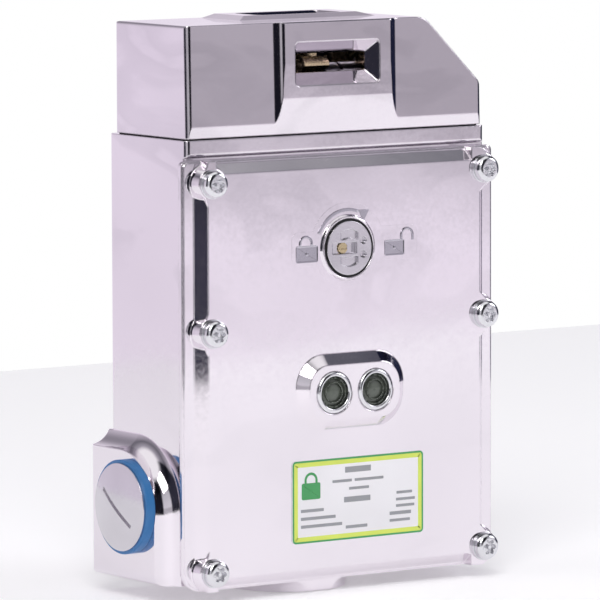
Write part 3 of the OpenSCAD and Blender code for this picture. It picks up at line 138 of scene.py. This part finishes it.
def makeRoom(setup):
    low = cadBox[0][2]
    floorPlace = (0, setup["floorBack"], low - setup["floorDrop"])
    bpy.ops.mesh.primitive_plane_add(size=setup["floorSize"], location=floorPlace)
    floor = bpy.context.object
    floor.name = "floor"
    paint = bpy.data.materials.new("floorWhite")
    paint.use_nodes = True
    shader = paint.node_tree.nodes["Principled BSDF"]
    shader.inputs["Base Color"].default_value = setup["floorColour"]
    shader.inputs["Roughness"].default_value = setup["floorRough"]
    shader.inputs["Emission Color"].default_value = (1, 1, 1, 1)
    shader.inputs["Emission Strength"].default_value = setup["floorGlow"]
    floor.data.materials.append(paint)

    world = bpy.data.worlds.new("studio")
    bpy.context.scene.world = world
    world.use_nodes = True
    nt = world.node_tree
    nt.nodes.clear()
    out = nt.nodes.new("ShaderNodeOutputWorld")
    coord = nt.nodes.new("ShaderNodeTexCoord")
    split = nt.nodes.new("ShaderNodeSeparateXYZ")
    nt.links.new(coord.outputs["Generated"], split.inputs[0])
    x, y, z = split.outputs
    minusX = mathNode(nt, "MULTIPLY", x, -1.0)
    minusY = mathNode(nt, "MULTIPLY", y, -1.0)
    turn = mathNode(nt, "ARCTAN2", minusX, minusY)
    place = mathNode(nt, "ADD", mathNode(nt, "DIVIDE", turn, 2 * pi), 0.5)   # 0.5 is straight in front
    height = mathNode(nt, "ADD", mathNode(nt, "MULTIPLY", z, 0.5), 0.5)       # 0.5 is the horizon

    def around(stops):
        node = ramp(nt, [(deg / 360.0 + 0.5, colour) for deg, colour in stops])
        nt.links.new(place, node.inputs[0])
        return node.outputs[0]

    def byHeight(stops):
        node = ramp(nt, [(sin(radians(deg)) * 0.5 + 0.5, colour) for deg, colour in stops])
        nt.links.new(height, node.inputs[0])
        return node.outputs[0]

    bands = mixColour(nt, around(besideStops), byHeight(frontBands), byHeight(sideBands))
    strips = mixColour(nt, byHeight(lowAndHigh), around(aroundStops), white)
    both = mixColour(nt, 1.0, strips, bands, "MULTIPLY")
    lit = nt.nodes.new("ShaderNodeBackground")
    nt.links.new(both, lit.inputs[0])
    lit.inputs[1].default_value = 1.0
    seen = nt.nodes.new("ShaderNodeBackground")
    seen.inputs[0].default_value = (1, 1, 1, 1)
    path = nt.nodes.new("ShaderNodeLightPath")
    mix = nt.nodes.new("ShaderNodeMixShader")
    nt.links.new(path.outputs["Is Camera Ray"], mix.inputs[0])
    nt.links.new(lit.outputs[0], mix.inputs[1])
    nt.links.new(seen.outputs[0], mix.inputs[2])
    nt.links.new(mix.outputs[0], out.inputs[0])

makeRoom(roomSetup)

lightAim = Vector((0, -0.03, 0.02))
# each light: place, size, power, colour
lightSetup = {"key": ((-1.1, -1.3, 1.5), 1.1, 22, (1.0, 0.98, 0.97)),
              "side": ((1.6, -0.9, 0.9), 0.8, 9, (0.96, 0.97, 1.0))}

def addLight(name, place, size, power, colour):
    bpy.ops.object.light_add(type="AREA", location=place)
    light = bpy.context.object
    light.name = name
    light.data.shape = "SQUARE"
    light.data.size = size
    light.data.energy = power
    light.data.color = colour
    light.rotation_euler = (lightAim - Vector(place)).to_track_quat("-Z", "Y").to_euler()

for name, (place, size, power, colour) in lightSetup.items():
    addLight(name, place, size, power, colour)
bpy.context.scene.view_settings.view_transform = "Standard"
print("camera, room and lights ready")


# finishes
finishes = {
    # the two polished cast finishes carry painted reflection: a darker colour mixed in as streaks, standing
    # for dark surroundings mirrored in the polish
    "polishedCast": {"colour": (0.85, 0.8, 0.855), "metal": 1.0, "rough": (0.05, 0.1), "grain": 900,
                     "waves": 0.0003, "waveScale": 20, "pits": 0.000001, "edge": 0.0006,
                     "paintedReflection": (0.4, 0.38, 0.42), "paintedReflectionScale": 24},
    "castRelief": {"colour": (0.86, 0.81, 0.865), "metal": 1.0, "rough": (0.06, 0.12), "grain": 900,
                   "waves": 0.0003, "waveScale": 20, "pits": 0.000001, "edge": 0.00004,
                   "paintedReflection": (0.4, 0.38, 0.42), "paintedReflectionScale": 24},
    # the darker colour of the raised figures is painted shade, standing in for the light and dark along their
    # edges
    "shadedCastFigure": {"colour": (0.52, 0.5, 0.56), "metal": 1.0, "rough": (0.16, 0.26), "grain": 1400,
                   "waves": 0.0001, "waveScale": 60, "pits": 0.000002, "edge": 0.00008},
    "turnedSteel": {"colour": (0.66, 0.64, 0.68), "metal": 1.0, "rough": (0.1, 0.2), "grain": 1500,
                    "waves": 0.0001, "waveScale": 90, "pits": 0.000004, "edge": 0.0003},
    "platedSteel": {"colour": (0.76, 0.76, 0.79), "metal": 1.0, "rough": (0.1, 0.22), "grain": 1500,
                    "waves": 0.0, "waveScale": 60, "pits": 0.000006, "edge": 0.00022},
    "darkSteel": {"colour": (0.3, 0.3, 0.32), "metal": 1.0, "rough": (0.28, 0.42), "grain": 1500,
                  "waves": 0.0, "waveScale": 60, "pits": 0.000008, "edge": 0.0002},
    "turnedBrass": {"colour": (0.66, 0.54, 0.34), "metal": 1.0, "rough": (0.16, 0.32), "grain": 1700,
                    "waves": 0.0, "waveScale": 60, "pits": 0.000008, "edge": 0.0002},
    "blackRubber": {"colour": (0.012, 0.012, 0.014), "metal": 0.0, "rough": (0.55, 0.75), "grain": 2500,
                    "waves": 0.0, "waveScale": 60, "pits": 0.00001, "edge": 0.0002},
    "blueSeal": {"colour": (0.035, 0.19, 0.47), "metal": 0.0, "rough": (0.32, 0.5), "grain": 1800,
                 "waves": 0.0, "waveScale": 60, "pits": 0.000012, "edge": 0.0007},
    "smokedLens": {"colour": (0.115, 0.13, 0.11), "metal": 0.0, "rough": (0.05, 0.12), "grain": 1500,
                   "waves": 0.0, "waveScale": 60, "pits": 0.0, "edge": 0.0},
    "boardGreen": {"colour": (0.02, 0.14, 0.05), "metal": 0.0, "rough": (0.3, 0.45), "grain": 1800,
                   "waves": 0.0, "waveScale": 60, "pits": 0.000006, "edge": 0.0},
    "labelFilm": {"colour": (0.9, 0.89, 0.92), "metal": 0.0, "rough": (0.28, 0.4), "grain": 2200,
                  "waves": 0.00003, "waveScale": 50, "pits": 0.000003, "edge": 0.0},
    "blackPlastic": {"colour": (0.02, 0.02, 0.022), "metal": 0.0, "rough": (0.4, 0.55), "grain": 2200,
                     "waves": 0.0, "waveScale": 60, "pits": 0.000012, "edge": 0.0002},
    "ivoryPlastic": {"colour": (0.62, 0.57, 0.45), "metal": 0.0, "rough": (0.4, 0.55), "grain": 2200,
                     "waves": 0.0, "waveScale": 60, "pits": 0.000012, "edge": 0.0002},
    "orangePlastic": {"colour": (0.7, 0.12, 0.03), "metal": 0.0, "rough": (0.35, 0.5), "grain": 2200,
                      "waves": 0.0, "waveScale": 60, "pits": 0.000012, "edge": 0.0002},
    "greyPlastic": {"colour": (0.12, 0.14, 0.14), "metal": 0.0, "rough": (0.4, 0.55), "grain": 2200,
                    "waves": 0.0, "waveScale": 60, "pits": 0.000012, "edge": 0.0002},
    "copperWire": {"colour": (0.62, 0.26, 0.1), "metal": 1.0, "rough": (0.25, 0.4), "grain": 2200,
                   "waves": 0.0, "waveScale": 60, "pits": 0.000006, "edge": 0.0},
    "printGreen": {"colour": (0.07, 0.36, 0.12), "metal": 0.0, "rough": (0.3, 0.42), "grain": 2200,
                   "waves": 0.0, "waveScale": 300, "pits": 0.000002, "edge": 0.0},
    "printLime": {"colour": (0.72, 0.84, 0.14), "metal": 0.0, "rough": (0.3, 0.42), "grain": 2200,
                  "waves": 0.0, "waveScale": 160, "pits": 0.000002, "edge": 0.0},
    "printGrey": {"colour": (0.33, 0.34, 0.36), "metal": 0.0, "rough": (0.35, 0.5), "grain": 2200,
                  "waves": 0.0, "waveScale": 300, "pits": 0.000002, "edge": 0.0},
}

fineNoise = {"Detail": 3.0}
broadNoise = {"Detail": 1.5, "Roughness": 0.35}
# settings of the painted reflection streaks: noise, stretch, ramp and height range
paintedReflectionStreakNoise = {"Detail": 3.0, "Roughness": 0.42, "Distortion": 0.7}
paintedReflectionStreakStretch = (1.0, 1.0, 1.9)
paintedReflectionStreakSteps = [(0.3, 0), (0.52, 0.1), (0.57, 0.6), (0.66, 0.85), (0.7, 0.2), (1.0, 0)]
paintedReflectionStreakHeight = {"From Min": 0.0, "From Max": 0.03, "To Min": 0.06, "To Max": 0.25}   # painted reflection, more on the upper half
shadeSpan = (0.3, 0.7)                                   # part of a noise's values that is used
shadeDark = 0.93
edgeSamples = 6

def noiseNode(nt, place, scale, settings):
    noise = nt.nodes.new("ShaderNodeTexNoise")
    noise.inputs["Scale"].default_value = scale
    for socket, value in settings.items():
        noise.inputs[socket].default_value = value
    nt.links.new(place, noise.inputs["Vector"])
    return noise.outputs["Fac"]

def buildFinish(name, look):
    paint = bpy.data.materials.new(name)
    paint.use_nodes = True
    nt = paint.node_tree
    shader = nt.nodes["Principled BSDF"]
    shader.inputs["Metallic"].default_value = look["metal"]
    place = nt.nodes.new("ShaderNodeTexCoord").outputs["Object"]
    fine = noiseNode(nt, place, look["grain"], fineNoise)
    broad = noiseNode(nt, place, look["waveScale"], broadNoise)
    dark = tuple(c * shadeDark for c in look["colour"])
    shade = ramp(nt, [(shadeSpan[0], dark), (shadeSpan[1], look["colour"])])
    nt.links.new(broad, shade.inputs[0])
    tint = shade.outputs[0]
    if "paintedReflection" in look:                                  # painted reflection: darker streaks standing for dark surroundings mirrored in the polish, more on the upper half
        stretch = nt.nodes.new("ShaderNodeMapping")
        stretch.inputs["Scale"].default_value = paintedReflectionStreakStretch
        nt.links.new(place, stretch.inputs[0])
        flow = noiseNode(nt, stretch.outputs[0], look["paintedReflectionScale"], paintedReflectionStreakNoise)
        streak = ramp(nt, [(spot, (share, share, share)) for spot, share in paintedReflectionStreakSteps])
        nt.links.new(flow, streak.inputs[0])
        split = nt.nodes.new("ShaderNodeSeparateXYZ")
        nt.links.new(place, split.inputs[0])
        upper = nt.nodes.new("ShaderNodeMapRange")
        for socket, value in paintedReflectionStreakHeight.items():
            upper.inputs[socket].default_value = value
        nt.links.new(split.outputs[2], upper.inputs["Value"])
        share = mathNode(nt, "MULTIPLY", streak.outputs[0], upper.outputs[0])
        tint = mixColour(nt, share, tint, look["paintedReflection"])
    nt.links.new(tint, shader.inputs["Base Color"])
    spread = nt.nodes.new("ShaderNodeMapRange")
    spread.inputs["From Min"].default_value, spread.inputs["From Max"].default_value = shadeSpan
    spread.inputs["To Min"].default_value, spread.inputs["To Max"].default_value = look["rough"]
    nt.links.new(fine, spread.inputs["Value"])
    nt.links.new(spread.outputs[0], shader.inputs["Roughness"])
    normal = None
    if look["edge"]:
        soft = nt.nodes.new("ShaderNodeBevel")
        soft.samples = edgeSamples
        soft.inputs["Radius"].default_value = look["edge"]
        normal = soft.outputs[0]
    for source, depth in ((broad, look["waves"]), (fine, look["pits"])):
        if not depth:
            continue
        bump = nt.nodes.new("ShaderNodeBump")
        bump.inputs["Strength"].default_value = 1.0
        bump.inputs["Distance"].default_value = depth
        nt.links.new(source, bump.inputs["Height"])
        if normal is not None:
            nt.links.new(normal, bump.inputs["Normal"])
        normal = bump.outputs[0]
    if normal is not None:
        nt.links.new(normal, shader.inputs["Normal"])
    return paint

paints = {name: buildFinish(name, look) for name, look in finishes.items()}
bodyLevel = {"panel": -45.0, "label": -45.3}    # millimetres, front faces that the new pieces sit on

nodeFinish = {
    "polishedCast": ["housing", "lid", "head"],
    "platedSteel": ["lid_screws", "lid_washers", "lamp_rings", "board_screws",
                    "release_cam", "head_screws", "cam_shaft", "plunger", "spring_bracket", "lock_bolt",
                    "solenoid_frame", "chassis_plate", "chassis_screws", "terminal_screws"],
    "turnedSteel": ["release_spindle", "conduit_plug"],
    "darkSteel": ["release_clip", "cam_drum", "plunger_spring", "armature", "bolt_spring"],
    "turnedBrass": ["release_core", "cam_lugs", "plunger_bush"],
    "blackRubber": ["lid_gasket", "head_gasket", "release_seal"],
    "blueSeal": ["plug_seal"],
    "smokedLens": ["lamp_lenses"],
    "boardGreen": ["lamp_board"],
    "labelFilm": ["label"],
    "blackPlastic": ["bobbin"],
    "ivoryPlastic": ["contact_block_actuator", "contact_block_lock"],
    "orangePlastic": ["contact_carriage_actuator", "contact_carriage_lock"],
    "greyPlastic": ["terminal_block"],
    "copperWire": ["coil_winding"],
}

for name, members in nodeFinish.items():
    for member in members:
        mesh = nodes[member].data
        if not mesh.materials:
            mesh.materials.append(paints[name])
        for i in range(len(mesh.materials)):
            mesh.materials[i] = paints[name]
print("finishes assigned:", len(paints))


# ways of working that the new pieces share
cornerSteps = 6
smoothAngle = radians(35)
softAngle = radians(40)

def noSelection():
    bpy.ops.object.select_all(action="DESELECT")

def pickFaces(piece, wanted):
    bpy.ops.object.mode_set(mode="EDIT")
    bpy.ops.mesh.select_mode(type="FACE")
    bpy.ops.mesh.select_all(action="DESELECT")
    bpy.ops.object.mode_set(mode="OBJECT")
    for face in piece.data.polygons:
        face.select = wanted(face)
    bpy.ops.object.mode_set(mode="EDIT")

def pushOut(rise):
    bpy.ops.mesh.extrude_region_move(TRANSFORM_OT_translate={"value": (0, -rise * mm, 0)})
    bpy.ops.mesh.select_all(action="SELECT")
    bpy.ops.mesh.normals_make_consistent(inside=False)
    bpy.ops.object.mode_set(mode="OBJECT")

def plate(name, rect, back, rise, corner=0.0, rim=0.0):
    x0, x1, z0, z1 = [v * mm for v in rect]
    noSelection()
    middle = ((x0 + x1) / 2, back * mm, (z0 + z1) / 2)
    bpy.ops.mesh.primitive_plane_add(size=1, location=middle, rotation=(pi / 2, 0, 0))
    piece = bpy.context.object
    piece.name = name
    piece.scale = (x1 - x0, z1 - z0, 1)
    bpy.ops.object.transform_apply(location=True, rotation=True, scale=True)
    bpy.ops.object.mode_set(mode="EDIT")
    bpy.ops.mesh.select_all(action="SELECT")
    if corner:
        bpy.ops.mesh.bevel(offset=corner * mm, segments=cornerSteps, affect="VERTICES")
    if rim:
        bpy.ops.mesh.inset(thickness=rim * mm)
        bpy.ops.mesh.delete(type="FACE")
        bpy.ops.mesh.select_all(action="SELECT")
    pushOut(rise)
    return piece

def disc(name, centre, radius, back, rise, sides):
    noSelection()
    middle = (centre[0] * mm, back * mm, centre[1] * mm)
    bpy.ops.mesh.primitive_circle_add(vertices=sides, radius=radius * mm, fill_type="NGON",
                                      location=middle, rotation=(pi / 2, 0, 0))
    piece = bpy.context.object
    piece.name = name
    bpy.ops.object.transform_apply(location=True, rotation=True, scale=True)
    bpy.ops.object.mode_set(mode="EDIT")
    bpy.ops.mesh.select_all(action="SELECT")
    pushOut(rise)
    return piece

def arcBand(name, centre, radii, start, sweep, back, rise, steps, legs=0.0):
    # a flat quad at the start angle, swept round the centre; legs carry both ends straight on
    inner, outer = radii
    noSelection()
    bpy.ops.mesh.primitive_plane_add(size=1, location=(0, 0, 0))
    piece = bpy.context.object
    piece.name = name
    piece.scale = ((outer - inner) * mm, rise * mm, 1)
    piece.location = ((inner + outer) / 2 * mm, 0, 0)
    bpy.ops.object.transform_apply(location=True, rotation=True, scale=True)
    piece.rotation_euler = (0, -radians(start), 0)
    piece.location = (centre[0] * mm, (back - rise / 2) * mm, centre[1] * mm)
    bpy.ops.object.transform_apply(location=True, rotation=True, scale=True)
    bpy.ops.object.mode_set(mode="EDIT")
    bpy.ops.mesh.select_all(action="SELECT")
    if legs:
        bpy.ops.mesh.extrude_region_move(TRANSFORM_OT_translate={"value": (0, 0, legs * mm)})
    pivot = (centre[0] * mm, back * mm, (centre[1] + legs) * mm)
    bpy.ops.mesh.spin(steps=steps, angle=radians(sweep), center=pivot, axis=(0, 1, 0))
    if legs:
        bpy.ops.mesh.extrude_region_move(TRANSFORM_OT_translate={"value": (0, 0, -legs * mm)})
    bpy.ops.mesh.select_all(action="SELECT")
    bpy.ops.mesh.remove_doubles(threshold=0.000001)
    bpy.ops.mesh.normals_make_consistent(inside=False)
    bpy.ops.object.mode_set(mode="OBJECT")
    return piece

def combine(piece, other, operation):
    noSelection()
    bpy.context.view_layer.objects.active = piece
    piece.select_set(True)
    bpy.ops.object.modifier_add(type="BOOLEAN")
    cut = piece.modifiers[-1]
    cut.operation = operation
    cut.solver = "EXACT"
    cut.object = other
    bpy.ops.object.modifier_apply(modifier=cut.name)
    bpy.data.objects.remove(other, do_unlink=True)
    return piece

def joinAll(name, pieces):
    noSelection()
    for piece in pieces:
        piece.select_set(True)
    bpy.context.view_layer.objects.active = pieces[0]
    if len(pieces) > 1:
        bpy.ops.object.join()
    pieces[0].name = name
    return pieces[0]

def softEdges(piece, width):
    noSelection()
    bpy.context.view_layer.objects.active = piece
    piece.select_set(True)
    bpy.ops.object.modifier_add(type="BEVEL")
    bevel = piece.modifiers[-1]
    bevel.width = width * mm
    bevel.segments = 2
    bevel.limit_method = "ANGLE"
    bevel.angle_limit = softAngle
    bpy.ops.object.modifier_apply(modifier=bevel.name)

def finishPiece(piece, paint):
    noSelection()
    bpy.context.view_layer.objects.active = piece
    piece.select_set(True)
    bpy.ops.object.shade_smooth_by_angle(angle=smoothAngle)
    bpy.ops.object.modifier_add(type="WEIGHTED_NORMAL")            # keeps the large faces flat
    flat = piece.modifiers[-1]
    flat.weight = 100
    flat.keep_sharp = True
    bpy.ops.object.modifier_apply(modifier=flat.name)
    piece.data.materials.clear()
    piece.data.materials.append(paints[paint])
    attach(piece, "body")


# relief cast on the lid round the release
relief = {"centre": (0.4, 30.3), "low": 0.05, "high": 0.22, "sunk": 0.05, "hole": 9.6, "ring": 11.7,
          "holeFrom": 0.5, "holeDeep": 2.05,
          "crown": 13.3, "crownCut": 4.0, "sides": 96, "edge": 0.035, "earCorner": 2.2,
          "leftEar": (-19.2, -8.0, 25.6, 35.6), "rightEar": (8.0, 25.2, 26.0, 36.0)}

def makeCartouche(r):
    level = bodyLevel["panel"] + r["sunk"]
    rise = r["low"] + r["sunk"]
    field = disc("lidCartouche", r["centre"], r["ring"], level, rise, r["sides"])
    crown = disc("crown", r["centre"], r["crown"], level, rise, r["sides"])
    cut = (0, 0, (r["centre"][1] + r["crownCut"]) * mm)
    bpy.ops.object.mode_set(mode="EDIT")
    bpy.ops.mesh.select_all(action="SELECT")
    bpy.ops.mesh.bisect(plane_co=cut, plane_no=(0, 0, 1), clear_inner=True, use_fill=True)
    bpy.ops.object.mode_set(mode="OBJECT")
    combine(field, crown, "UNION")
    for rect in (r["leftEar"], r["rightEar"]):
        combine(field, plate("ear", rect, level, rise, r["earCorner"]), "UNION")
    hole = disc("hole", r["centre"], r["hole"], level + r["holeFrom"], r["holeDeep"], r["sides"])
    combine(field, hole, "DIFFERENCE")
    softEdges(field, r["edge"])
    finishPiece(field, "castRelief")

makeCartouche(relief)

arrow = {"radii": (10.6, 11.6), "start": 70, "sweep": 86, "steps": 24, "head": (6.1, 40.0), "headSize": 2.3,
         "headTurn": 60, "edge": 0.06}

def makeArrow(a):
    level = bodyLevel["panel"]
    rise = relief["high"]
    shaft = arcBand("lidArrow", relief["centre"], a["radii"], a["start"], a["sweep"], level, rise, a["steps"])
    noSelection()
    bpy.ops.mesh.primitive_circle_add(vertices=3, radius=a["headSize"] * mm, fill_type="NGON",
                                      location=(0, 0, 0))
    point = bpy.context.object
    point.rotation_euler = (pi / 2, 0, 0)
    bpy.ops.object.transform_apply(location=True, rotation=True, scale=True)
    point.rotation_euler = (0, radians(a["headTurn"]), 0)
    point.location = (a["head"][0] * mm, level * mm, a["head"][1] * mm)
    bpy.ops.object.transform_apply(location=True, rotation=True, scale=True)
    bpy.ops.object.mode_set(mode="EDIT")
    bpy.ops.mesh.select_all(action="SELECT")
    pushOut(rise)
    piece = joinAll("lidArrow", [shaft, point])
    softEdges(piece, a["edge"])
    finishPiece(piece, "shadedCastFigure")

makeArrow(arrow)

padlockShape = {"corner": 0.5, "frame": 0.55, "sink": 0.6, "keyhole": 0.55, "keyholeSides": 20,
                "bowWidth": 0.75, "bowSteps": 14, "edge": 0.07}
padlocks = {"lidPadlockShut": {"body": (-17.8, -10.1, 26.7, 31.6), "bow": (-14.3, 2.4, 1.0), "foot": 31.2},
            "lidPadlockOpen": {"body": (13.6, 20.6, 27.2, 31.8), "bow": (21.6, 2.4, 1.5), "foot": 31.4}}

def makePadlock(name, p, level, rise, paint):
    shape = padlockShape
    x0, x1, z0, z1 = p["body"]
    body = plate(name, p["body"], level, rise, shape["corner"])
    pickFaces(body, lambda face: face.center.y < (level - rise * 0.9) * mm)
    bpy.ops.mesh.inset(thickness=shape["frame"] * mm)
    bpy.ops.transform.translate(value=(0, rise * shape["sink"] * mm, 0))
    bpy.ops.object.mode_set(mode="OBJECT")
    middle = ((x0 + x1) / 2, (z0 + z1) / 2)
    keyhole = disc("keyhole", middle, shape["keyhole"], level, rise * 0.9, shape["keyholeSides"])
    centre, radius, leg = p["bow"]
    radii = (radius - shape["bowWidth"], radius)
    bow = arcBand("bow", (centre, p["foot"]), radii, 0, 180, level, rise, shape["bowSteps"], leg)
    piece = joinAll(name, [body, keyhole, bow])
    softEdges(piece, min(shape["edge"], rise * 0.25))
    finishPiece(piece, paint)

for name, p in padlocks.items():
    makePadlock(name, p, bodyLevel["panel"], relief["high"], "shadedCastFigure")
print("relief on the lid made")


# print of the label: edge, band, plain bars and a padlock
labelPrint = {"rect": (-19.4, 27.2, -54.9, -30.8), "edge": 0.55, "band": 1.35, "rise": 0.025,
              "corners": {"edge": 1.2, "band": 0.9, "bar": 0.12},
              "bars": [(18.6, 27.8, 2.8, 4.5), (14.1, 21.0, 6.4, 7.2), (22.0, 32.3, 6.4, 7.2),
                       (20.0, 27.1, 8.8, 9.6), (18.2, 27.6, 11.6, 13.2), (2.9, 11.0, 14.2, 15.1),
                       (2.9, 15.2, 16.5, 17.4), (2.9, 17.5, 18.8, 19.7), (18.8, 26.5, 20.0, 20.9),
                       (37.0, 42.6, 11.3, 12.1), (36.8, 43.6, 13.3, 14.1), (36.8, 43.4, 15.2, 16.0),
                       (34.5, 42.2, 17.2, 18.2), (34.5, 41.8, 19.4, 20.2)],
              "padlock": {"body": (-16.2, -9.6, -42.2, -37.4), "bow": (-12.9, 2.3, 1.2), "foot": -37.8}}

def makeLabel(l):
    x0, x1, z0, z1 = l["rect"]
    level, rise, corners = bodyLevel["label"], l["rise"], l["corners"]
    edge = plate("labelEdge", l["rect"], level, rise * 1.4, corners["edge"], l["edge"])
    finishPiece(edge, "printGreen")
    lap = l["edge"] * 0.9                                # the band starts a little under the edge
    inner = (x0 + lap, x1 - lap, z0 + lap, z1 - lap)
    band = plate("labelBand", inner, level, rise, corners["band"], l["band"])
    finishPiece(band, "printLime")
    bars = []
    for left, right, top, bottom in l["bars"]:
        rect = (x0 + left, x0 + right, z1 - bottom, z1 - top)
        bars.append(plate("bar", rect, level, rise, corners["bar"]))
    finishPiece(joinAll("labelBars", bars), "printGrey")
    makePadlock("labelPadlock", l["padlock"], level, rise * 2, "printGreen")

makeLabel(labelPrint)
print("label print made")


# stepped rims on the lamp lenses
lampRims = {"centres": ((-6.1, -11.3), (8.5, -11.3)), "level": -46.75, "steps": 48, "edge": 0.12,
            "rings": ((4.0, 4.5, 0.5), (2.7, 3.1, 0.75))}

def makeLampRims(l):
    for side, centre in zip(("Left", "Right"), l["centres"]):
        rings = [arcBand("rim", centre, (inner, outer), 0, 360, l["level"], rise, l["steps"])
                 for inner, outer, rise in l["rings"]]
        piece = joinAll("lampRims" + side, rings)
        softEdges(piece, l["edge"])
        finishPiece(piece, "smokedLens")

makeLampRims(lampRims)
print("lamp rims made")
